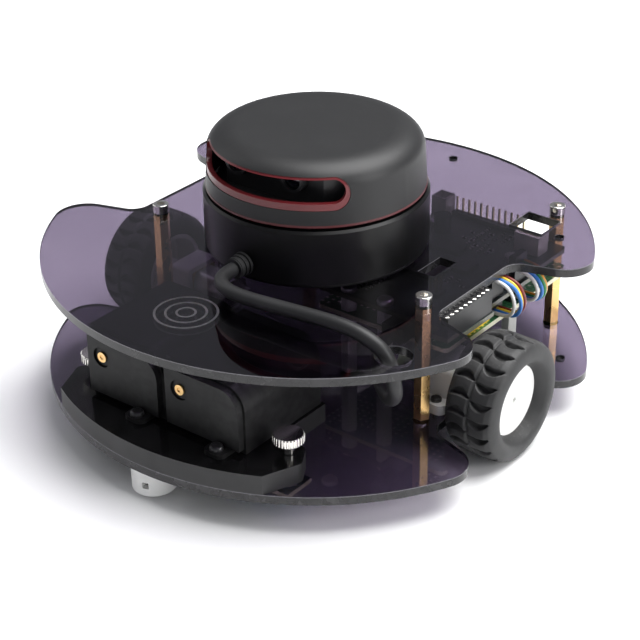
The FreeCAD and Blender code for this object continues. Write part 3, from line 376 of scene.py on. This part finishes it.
def acrylic(name, tint):
    material = bpy.data.materials.new(name)
    material.use_nodes = True
    tree = material.node_tree
    shader = tree.nodes["Principled BSDF"]
    smears = between(tree, noise(tree, 28.0, 4.0), 0.45, 0.8)
    hazy = blend_colour(tree, calc(tree, "MULTIPLY", smears, 0.2), tint, (0.32, 0.27, 0.36))
    engraved = ring_mask(tree, ring_centre, ring_radii, half_line, deck_top - 0.2 * MM)
    put(shader.inputs["Base Color"], blend_colour(tree, engraved, hazy, (0.8, 0.8, 0.82)))
    gloss = calc(tree, "ADD", 0.008, calc(tree, "MULTIPLY", smears, 0.012))
    put(shader.inputs["Roughness"], calc(tree, "ADD", gloss, calc(tree, "MULTIPLY", engraved, 0.55)))
    shader.inputs["IOR"].default_value = 1.49
    shader.inputs["Transmission Weight"].default_value = 1.0
    shadow = add(tree, "ShaderNodeLightPath").outputs["Is Shadow Ray"]
    put(shader.inputs["Alpha"], calc(tree, "SUBTRACT", 1.0, calc(tree, "MULTIPLY", shadow, 0.05)))
    return material


# %% [markdown]
# The edge of each deck is dark and glossy. Along its top runs a fine bright line, a painted highlight where
# the top arris catches the light. A mask from the height of each point paints that highlight on the edge
# finish of its own deck.

# %% Deck edges
edge_dark, edge_painted_highlight = (0.012, 0.0115, 0.013), (0.13, 0.125, 0.14)


def acrylic_edge(name, top_z):
    material = finish(name, edge_dark, 0.24, drift=0.3, patch=140.0, dust=0.0, grain_depth=0.006)
    tree = material.node_tree
    # painted highlight: a thin band just under the top of the edge is made lighter, as where the arris
    # catches the light
    line = between(tree, object_axis(tree, 2), top_z - 0.38 * MM, top_z - 0.2 * MM)
    put(surface_inputs(material)["Colour"], blend_colour(tree, line, edge_dark, edge_painted_highlight))
    return material


acrylic_face = acrylic("violet_acrylic", (0.195, 0.158, 0.232))
for name, top_z in (("upper_deck", deck_top), ("lower_deck", lower_top)):
    mesh = nodes[name].data
    mesh.materials.clear()
    mesh.materials.append(acrylic_face)
    mesh.materials.append(acrylic_edge(name + "_edge", top_z))
    for face in mesh.polygons:
        face.material_index = 0 if abs(face.normal.z) > 0.5 else 1
print("decks dressed")

# %% [markdown]
# Metals differ in colour and in how sharply they mirror. Bright nickel is nearly a mirror, turned brass is
# warmer and softer, and plain steel is the dullest.

# %% Metals
nickel = finish("bright_nickel", (0.78, 0.76, 0.72), 0.16, metallic=1.0, drift=0.25, dust=0.03,
                grain_depth=0.006)
brass = finish("turned_brass", (0.80, 0.52, 0.22), 0.27, metallic=1.0, drift=0.35, dust=0.04, patch=120.0,
               grain_depth=0.01)
steel = finish("plain_steel", (0.58, 0.58, 0.57), 0.32, metallic=1.0, drift=0.3, grain_depth=0.008)
blackened = finish("blackened_steel", (0.035, 0.035, 0.037), 0.3, metallic=0.6, worn=0.5,
                   bare=(0.3, 0.3, 0.3))
dress("deck_screws caster_ball " + both("thumb_screw"), nickel)
dress("deck_pillars cover_screws " + both("gearbox idler_gear"), brass)
dress("small_screws " + both("motor rotor output_shaft"), steel)
dress("black_screws", blackened)
print("metals:", [m.name for m in (nickel, brass, steel, blackened)])

# %% [markdown]
# Moulded plastics carry a fine grain. The battery boxes are nearly matt, the range finder's head is satin and
# its base is glossier, and the white parts let a little light in under the skin.

# %% Black plastics
box_black = finish("box_black", (0.005, 0.005, 0.0053), 0.5, dust=0.01, grain_depth=0.02, worn=0.3,
                   bare=(0.03, 0.03, 0.03), shine=0.3)
charcoal = finish("head_charcoal", (0.013, 0.013, 0.0135), 0.46, dust=0.006, drift=0.05, patch=30.0,
                  grain_depth=0.008, grain_scale=2600.0, scuffs=0.05, shine=0.4)
gloss_black = finish("base_gloss_black", (0.003, 0.003, 0.0032), 0.3, drift=0.02, dust=0.0,
                     grain_depth=0.002, scuffs=0.03, shine=0.25)
trim_red = finish("window_trim_red", (0.15, 0.012, 0.016), 0.34, coat=0.2, drift=0.15, dust=0.0,
                  grain_depth=0.005)
optics_black = finish("optics_black", (0.03, 0.03, 0.032), 0.35, dust=0.0)
print("head and base:", charcoal.name, gloss_black.name, trim_red.name)

# %% White plastic, rubber and wrap
white_plastic = finish("moulded_white", (0.80, 0.80, 0.78), 0.38, drift=0.08, dust=0.05, grain_depth=0.01)
white_skin = white_plastic.node_tree.nodes["Principled BSDF"].inputs
white_skin["Subsurface Weight"].default_value = 0.08
white_skin["Subsurface Radius"].default_value = (0.002, 0.002, 0.002)
tyre_rubber = finish("tyre_rubber", (0.016, 0.016, 0.0165), 0.58, dust=0.04, drift=0.25, grain_depth=0.05,
                     grain_scale=1100.0, worn=0.3, bare=(0.1, 0.1, 0.1))
lead_rubber = finish("lead_rubber", (0.013, 0.013, 0.014), 0.46, dust=0.01, grain_depth=0.01, shine=0.4)
cell_wrap = finish("cell_wrap", (0.05, 0.16, 0.42), 0.25, coat=0.3)
black_plastic = finish("moulded_black", (0.012, 0.012, 0.013), 0.36, dust=0.04, grain_depth=0.015)
nylon = finish("spacer_nylon", (0.66, 0.66, 0.62), 0.42, grain_depth=0.01)
print(len(bpy.data.materials), "finishes so far")

# %% Plastics and rubber on their pieces
dress(both("battery_box box_cover"), box_black)
dress("scanner_head", charcoal)
dress("scanner_base scanner_spindle", gloss_black)
dress("window_trim", trim_red)
dress("scanner_optics", optics_black)
dress("caster_housing " + both("bracket wheel_hub"), white_plastic)
dress("cable_gland", lead_rubber)
dress("battery_cells", cell_wrap)
dress("board_chips line_sensors socket_header wire_sockets cable_plug", black_plastic)
dress("board_spacers", nylon)
scanner_lead.data.materials.append(lead_rubber)
print("head dressed in", nodes["scanner_head"].data.materials[0].name)


# %% [markdown]
# Some nodes hold two finishes at different heights, such as metal pins above a plastic strip, or the tray's
# sawn side below its polished top. A mask from the height of each point, in the object's own coordinates,
# picks the finish.

# %% Two finishes split by height
def split_finish(name, height, low, high):
    """low and high are (colour, roughness, metallic) below and above that height."""
    material = finish(name, low[0], low[1], dust=0.0, scuffs=0.05, grain_depth=0.01)
    tree = material.node_tree
    mask = calc(tree, "GREATER_THAN", object_axis(tree, 2), height)

    def step(part):
        return calc(tree, "ADD", low[part], calc(tree, "MULTIPLY", mask, high[part] - low[part]))

    put(surface_inputs(material)["Colour"], blend_colour(tree, mask, low[0], high[0]))
    put(surface_inputs(material)["Roughness"], step(1))
    put(tree.nodes["Principled BSDF"].inputs["Metallic"], step(2))
    return material


moulded = ((0.012, 0.012, 0.013), 0.36, 0.0)
pin_metal = ((0.82, 0.68, 0.38), 0.22, 1.0)
dress("rear_pin_header", split_finish("header_pins", board_high.z + 1.65 * MM, moulded, pin_metal))
tray_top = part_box("front_tray")[1].z
sawn = ((0.013, 0.013, 0.0135), 0.5, 0.0)
polished = ((0.004, 0.004, 0.0042), 0.14, 0.0)
dress("front_tray", split_finish("tray_plate", tray_top - 0.2 * MM, sawn, polished))
dress("white_connectors", finish("connector_white", (0.72, 0.70, 0.62), 0.4, grain_depth=0.01))
dress("yellow_header", finish("header_yellow", (0.80, 0.55, 0.03), 0.38, grain_depth=0.01))
print("tray top at", round(tray_top, 4))

# %% [markdown]
# Jumper wires have glossy vinyl jackets, one colour each.

# %% Wire jackets
jackets = {"white": (0.72, 0.72, 0.70), "blue": (0.035, 0.19, 0.55), "yellow": (0.75, 0.52, 0.03),
           "red": (0.16, 0.015, 0.012), "green": (0.03, 0.24, 0.06), "orange": (0.72, 0.30, 0.02)}
for colour, value in jackets.items():
    jacket = finish("jacket_" + colour, value, 0.3, coat=0.2, drift=0.1, dust=0.0, grain_depth=0.004)
    for wire, own in jumpers.items():
        if own == colour:
            wire.data.materials.append(jacket)
print(len(bpy.data.materials), "materials so far")


# %% [markdown]
# A circuit board is glass fibre under a coloured lacquer. Tracks show through the lacquer as slightly lighter
# lines on a grid, and tinned pads shine. The mortar lines of a brick pattern give the tracks; a fine grid of
# dots gives the pads. The sawn edge shows the pale fibre.

# %% Circuit boards
PITCH = 2.54
fibre, tinned = (0.62, 0.60, 0.42), (0.72, 0.70, 0.62)


def board_finish(name, lacquer, track, edge_colour):
    material = finish(name, lacquer, 0.3, coat=0.2, drift=0.15, grain_depth=0.008)
    tree = material.node_tree
    spot = add(tree, "ShaderNodeTexCoord").outputs["Object"]
    bricks = add(tree, "ShaderNodeTexBrick")
    put(bricks.inputs["Vector"], spot)
    put(bricks.inputs["Scale"], 160.0)
    put(bricks.inputs["Mortar Size"], 0.035)
    for label, shade in (("Color1", 0), ("Color2", 0), ("Mortar", 1)):
        put(bricks.inputs[label], (shade, shade, shade))
    cells = add(tree, "ShaderNodeTexVoronoi", distance="CHEBYCHEV")
    put(cells.inputs["Vector"], spot)
    put(cells.inputs["Scale"], 1 / (PITCH * MM))
    put(cells.inputs["Randomness"], 0.0)
    pads = calc(tree, "MULTIPLY", calc(tree, "LESS_THAN", cells.outputs["Distance"], 0.2),
                between(tree, noise(tree, 70.0, 0.0), 0.5, 0.52))
    side = calc(tree, "LESS_THAN", calc(tree, "ABSOLUTE", normal_z(tree)), 0.5)
    tracks = blend_colour(tree, bricks.outputs["Color"], lacquer, track)
    pattern = blend_colour(tree, pads, tracks, tinned)
    put(surface_inputs(material)["Colour"], blend_colour(tree, side, pattern, edge_colour))
    bare_pads = calc(tree, "MULTIPLY", pads, calc(tree, "SUBTRACT", 1.0, side))
    put(tree.nodes["Principled BSDF"].inputs["Metallic"], bare_pads)
    return material


dress("controller_board", board_finish("board_green", (0.02, 0.12, 0.045), (0.05, 0.25, 0.1), fibre))
dress("driver_board", board_finish("board_dark", (0.012, 0.02, 0.018), (0.03, 0.05, 0.045),
                                   (0.10, 0.10, 0.07)))
dress("line_sensor_board", board_finish("board_sensor", (0.02, 0.05, 0.14), (0.04, 0.1, 0.26), fibre))
print(len(bpy.data.materials), "materials with the boards'")


# %% [markdown]
# ## Detail that a CAD solid leaves plain
# Small pieces are written as lists of corners and faces. One helper turns such lists into an object that
# rides on a body and takes its finish; an index per face picks between several finishes. Most of them are
# stacks of rings, so a second helper makes the faces between one ring and the next.

# %% A piece from corners and faces
def shape(name, corners, faces, body, finishes, index=None, smooth=False):
    mesh = bpy.data.meshes.new(name)
    mesh.from_pydata([Vector(c) * MM for c in corners], [], faces)
    for material in finishes:
        mesh.materials.append(material)
    for k, face in enumerate(mesh.polygons):
        face.use_smooth = smooth
        face.material_index = index[k] if index else 0
    tidy = bmesh.new()
    tidy.from_mesh(mesh)
    bmesh.ops.recalc_face_normals(tidy, faces=tidy.faces)
    tidy.to_mesh(mesh)
    tidy.free()
    made = bpy.data.objects.new(name, mesh)
    bpy.context.scene.collection.objects.link(made)
    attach(made, body)
    return made


def ring_faces(rings, count, closed=False):
    """Faces between rings of count corners each; closed joins the last ring to the first as well."""
    return [(k * count + c, k * count + (c + 1) % count,
             (k + 1) % rings * count + (c + 1) % count, (k + 1) % rings * count + c)
            for k in range(rings if closed else rings - 1) for c in range(count)]


# %% [markdown]
# The tyre's tread is one wavy surface: S-shaped grooves, wide in the middle of each half and closing to a
# point at both ends, with a thin groove round the crown. Cutting 42 curved slots from a solid would be slow
# and sharp-edged. Instead the tyre is a grid turned round the axle, and each point of the tread is lowered
# by how far it lies inside a groove, as in the mould that a real tyre comes from.

# %% Tread depth at one point
LUGS = 21
TYRE_R = 21.0
HALF_W = 9.5
SWAY = 1.7
GROOVE_HALF, GROOVE_DEPTH, GROOVE_WALL = 1.45, 1.9, 0.5
CROWN_DROP, SHOULDER_DROP, SHOULDER_FROM = 0.45, 0.55, 0.8
MIDDLE_DEPTH, LUG_SWELL = 0.8, 0.22


def ease(value):
    value = max(0.0, min(1.0, value))
    return value * value * (3 - 2 * value)


def tread_radius(across, angle):
    """across runs from -1 to 1 over the tread; angle is in radians round the axle."""
    pitch = 2 * math.pi * TYRE_R / LUGS
    along = (angle * TYRE_R + SWAY * math.sin(math.pi * across)) % pitch - pitch / 2
    side = abs(across)
    width = GROOVE_HALF * math.sin(math.pi * max(0.0, min(1.0, (side - 0.03) / 0.95))) ** 0.6
    groove = GROOVE_DEPTH * ease((width - abs(along)) / GROOVE_WALL)
    swell = LUG_SWELL * (1 - abs(2 * along / pitch)) * (1 - side)
    shoulder = SHOULDER_DROP * max(0.0, side - SHOULDER_FROM) / 0.2
    middle = MIDDLE_DEPTH * ease((0.062 - side) / 0.03)
    return TYRE_R - CROWN_DROP * side ** 2 - shoulder - max(groove, middle) - swell


# %% Tyres
inner_side = [(0.3, 14.0), (0.0, 14.7), (0.0, 16.4), (0.2, 18.0), (0.7, 19.3)]
outer_side = [(18.3, 19.3), (18.8, 18.0), (19.0, 16.6), (18.95, 15.6), (18.6, 14.7), (18.0, 14.1),
              (16.4, 13.15), (14.8, 12.15), (12.7, 12.15), (12.7, 13.5), (0.8, 13.5)]
TREAD_ROWS = 46
COLUMNS = LUGS * 20


def tyre_points(x_of):
    rows = [[(x, r)] * COLUMNS for x, r in inner_side]
    for k in range(TREAD_ROWS + 1):
        across = 2 * k / TREAD_ROWS - 1
        x = HALF_W + across * (HALF_W - 1.3)
        rows.append([(x, tread_radius(across, 2 * math.pi * c / COLUMNS)) for c in range(COLUMNS)])
    rows += [[(x, r)] * COLUMNS for x, r in outer_side]
    corners = []
    for row in rows:
        for c, (x, r) in enumerate(row):
            angle = 2 * math.pi * (c + 0.5) / COLUMNS
            corners.append((x_of(x), -r * math.sin(angle), axle_z / MM - r * math.cos(angle)))
    return corners, ring_faces(len(rows), COLUMNS, closed=True)


wheel_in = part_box("tyre_left")[0].x / MM
for side, way in (("left", 1), ("right", -1)):
    corners, faces = tyre_points(lambda x: way * (wheel_in + x))
    tyre = shape("tread_" + side, corners, faces, "wheel_" + side, [tyre_rubber], smooth=True)
    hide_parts("tyre_" + side)
print("two tyres of", len(faces), "faces each")

# %% [markdown]
# The contacts in a socket strip show as small bright diamonds round a dark hole. Each is four rings of four
# corners: a flange, a raised lip, the lip's inner edge and the bottom of a pit.

# %% Socket contacts
def contact(x, y, z):
    rings = [(0.85, 0.02), (0.6, 0.16), (0.3, 0.14), (0.12, -0.3)]
    corners = [(x + r * math.cos(a), y + r * math.sin(a), z + h) for r, h in rings
               for a in (0, math.pi / 2, math.pi, 1.5 * math.pi)]
    return corners, ring_faces(4, 4) + [(12, 13, 14, 15)]


def many(name, singles, body, finishes, index):
    """One object from several (corners, faces) lists that share the same face pattern."""
    corners, faces, picks = [], [], []
    for points, patches in singles:
        faces += [tuple(i + len(corners) for i in face) for face in patches]
        corners += points
        picks += index
    return shape(name, corners, faces, body, finishes, picks)


header_low, header_high = (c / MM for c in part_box("socket_header"))
strip_half, inner_strip_y = 1.25, -9.6
contacts = [contact(header_high.x - strip_half, header_low.y + PITCH * (k + 0.5), header_high.z)
            for k in range(10)]
contacts += [contact(header_low.x + strip_half, inner_strip_y + PITCH * (k + 0.5), header_high.z)
             for k in range(8)]
lip_and_pit = [0] * 8 + [1] * 5
many("socket_contacts", contacts, "chassis", [nickel, black_plastic], lip_and_pit)
print(len(contacts), "contacts")

# %% [markdown]
# Inside each white connector stand square gold pins with pointed tips. A pin is a column of rings that
# narrows near its top.

# %% Connector pins
gold = finish("gold_plate", (0.86, 0.62, 0.25), 0.2, metallic=1.0, drift=0.2, dust=0.0, grain_depth=0.003)


def pin(x, y, z0, z1):
    rings = [(0.45, z0), (0.45, z1 - 0.7), (0.2, z1)]
    corners = [(x + r * sx, y + r * sy, z) for r, z in rings
               for sx, sy in ((-1, -1), (1, -1), (1, 1), (-1, 1))]
    return corners, ring_faces(3, 4) + [(8, 9, 10, 11)]


plug_low, plug_high = (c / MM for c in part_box("white_connectors"))
well_floor, pin_top = plug_low.z + 1.4, plug_high.z - 2.2
row_x, row_y, row_gap = plug_high.x - 4.9, plug_low.y + 3.1, 2.5
pair_x, pair_y, pair_gap = plug_low.x + 3.0, plug_high.y - 3.1, 2.0
pins = [pin(row_x + row_gap * k, row_y, well_floor, pin_top) for k in (-1, 0, 1)]
pins += [pin(pair_x, pair_y + pair_gap * k, well_floor, pin_top) for k in (-0.5, 0.5)]
many("connector_pins", pins, "chassis", [gold], [0] * 9)
print(len(pins), "connector pins")

# %% [markdown]
# Boards carry many small resistors and capacitors. They are scattered on a grid with a fixed seed, each one
# a dark body with a bright cap at either end, so that every build of the scene gives the same board.

# %% Small board parts
def chip_part(x, y, z, turned):
    length, width, height = 1.7, 0.85, 0.5
    corners, faces = [], []
    for part_from, part_to, grow in ((-0.5, -0.3, 0.03), (-0.3, 0.3, 0.0), (0.3, 0.5, 0.03)):
        first = len(corners)
        half, top = width / 2 + grow, height + grow
        for a in (part_from * length, part_to * length):
            for b, h in ((-half, 0), (half, 0), (half, top), (-half, top)):
                corners.append((x + (b if turned else a), y + (a if turned else b), z + h))
        faces += [tuple(first + i for i in face) for face in
                  ((0, 1, 2, 3), (4, 5, 6, 7), (0, 1, 5, 4), (1, 2, 6, 5), (2, 3, 7, 6), (3, 0, 4, 7))]
    return corners, faces


# %% Small parts scattered on the boards
controller_z, driver_z = controller_top / MM, board_high.z / MM
regions = [(controller_z, 44.0, 54.0, -9.0, 8.0), (driver_z, 40.0, 57.0, 14.5, 18.0),
           (driver_z, 16.0, 26.0, -8.0, 8.0), (driver_z, 30.0, 44.0, 40.0, 56.0)]
gap_x, gap_y, filled = 3.2, 2.6, 0.55
spots = []
for z, first_x, last_x, first_y, last_y in regions:
    for across in range(int((last_x - first_x) / gap_x) + 1):
        for along in range(int((last_y - first_y) / gap_y) + 1):
            if random.random() < filled:
                x, y = first_x + gap_x * across, first_y + gap_y * along
                spots.append(chip_part(x, y, z, random.random() < 0.5))
solder = finish("tinned_caps", (0.72, 0.72, 0.70), 0.3, metallic=1.0, dust=0.0, grain_depth=0.004)
cap_body_cap = [0] * 6 + [1] * 6 + [0] * 6
many("board_small_parts", spots, "chassis", [solder, black_plastic], cap_body_cap)
print(len(spots), "small parts on the boards")

# %% [markdown]
# Two pieces finish the range finder's head: a thin red line turned into its lower edge, and glass lenses in
# the two barrels behind the window. The lenses are domed discs, nearly black, with a sharp coat.

# %% Red line round the head
head_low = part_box("scanner_head")[0].z / MM
head_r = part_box("scanner_head")[1].y / MM
ROUND = 144
line_section = [(head_r - 0.5, 0.05), (head_r + 0.05, 0.05), (head_r + 0.09, 0.3), (head_r + 0.03, 0.85),
                (head_r - 0.5, 0.85)]
corners = [(r * math.cos(2 * math.pi * c / ROUND), r * math.sin(2 * math.pi * c / ROUND), head_low + h)
           for r, h in line_section for c in range(ROUND)]
faces = ring_faces(len(line_section), ROUND, closed=True)
line_red = finish("head_line_red", (0.085, 0.008, 0.011), 0.4, drift=0.15, dust=0.0, grain_depth=0.006)
shape("head_red_line", corners, faces, "scanner_head", [line_red])
print("red line of", len(faces), "faces")

# %% Lenses
lens_glass = finish("lens_glass", (0.004, 0.004, 0.008), 0.05, coat=1.0, drift=0.02, dust=0.0,
                    grain_depth=0.001)


def dome(x, y, z, radius, bulge):
    """Domed disc that faces -Y."""
    corners = [(x, y - bulge, z)]
    rings, count = 6, 36
    for k in range(1, rings + 1):
        share = k / rings
        corners += [(x + radius * share * math.cos(2 * math.pi * c / count), y - bulge * (1 - share ** 2),
                     z + radius * share * math.sin(2 * math.pi * c / count)) for c in range(count)]
    tip = [(0, 1 + c, 1 + (c + 1) % count) for c in range(count)]
    return corners, tip + [tuple(1 + i for i in face) for face in ring_faces(rings, count)]


barrel_front, lens_inset, lens_bulge = -25.4, 1.0, 0.8
eye_z = deck_top / MM + 32.9
for name, x, radius in (("laser_lens", -13.4, 3.3), ("camera_lens", 9.6, 3.5)):
    corners, faces = dome(x, barrel_front + lens_inset, eye_z, radius, lens_bulge)
    shape(name, corners, faces, "scanner_head", [lens_glass], smooth=True)
print("head finished")


# %% [markdown]
# ## Floor, light and the last line
# A pale floor and a soft overcast light from three panels: a large one above, a weak one on the left and a
# stronger, smaller one on the right, which draws the highlight on the range finder's head. The world is
# a dim grey, because polished decks mirror it. The floor is clear from below, so the caster side can be seen.

# %% Floor
bpy.ops.mesh.primitive_plane_add(size=8, location=(0, 0, -0.0002))
floor = bpy.context.object
floor.name = "floor"
paper = finish("paper_floor", (0.93, 0.93, 0.93), 0.7, drift=0.01, dust=0.0, grain_depth=0.01)
from_below = add(paper.node_tree, "ShaderNodeNewGeometry").outputs["Backfacing"]
topside = calc(paper.node_tree, "SUBTRACT", 1.0, from_below)
put(paper.node_tree.nodes["Principled BSDF"].inputs["Alpha"], topside)
floor.data.materials.append(paper)
print("floor", tuple(round(v, 2) for v in floor.dimensions[:2]), "metres")

# %% Light
world = bpy.data.worlds.new("studio")
world.use_nodes = True
sky = world.node_tree.nodes["Background"].inputs
sky["Color"].default_value = (0.9, 0.92, 1.0, 1)
sky["Strength"].default_value = 0.26
bpy.context.scene.world = world


def panel(name, place, target, size, power):
    light = bpy.data.lights.new(name, "AREA")
    light.shape = "RECTANGLE"
    light.size, light.size_y = size
    light.energy = power
    lamp = bpy.data.objects.new(name, light)
    lamp.location = place
    lamp.rotation_euler = (Vector(target) - Vector(place)).to_track_quat("-Z", "Y").to_euler()
    bpy.context.scene.collection.objects.link(lamp)


panel("top_panel", (0.3, 0.4, 1.25), (0, 0, 0), (1.2, 1.2), 36)
panel("left_panel", (-1.1, -0.2, 0.7), (0, 0, 0.05), (0.7, 1.0), 2)
panel("right_panel", (1.25, 0.15, 0.5), (0, 0, 0.05), (0.5, 0.8), 8)
bpy.context.scene.view_settings.view_transform = "Standard"
print(len(bpy.data.lights), "panels of light")
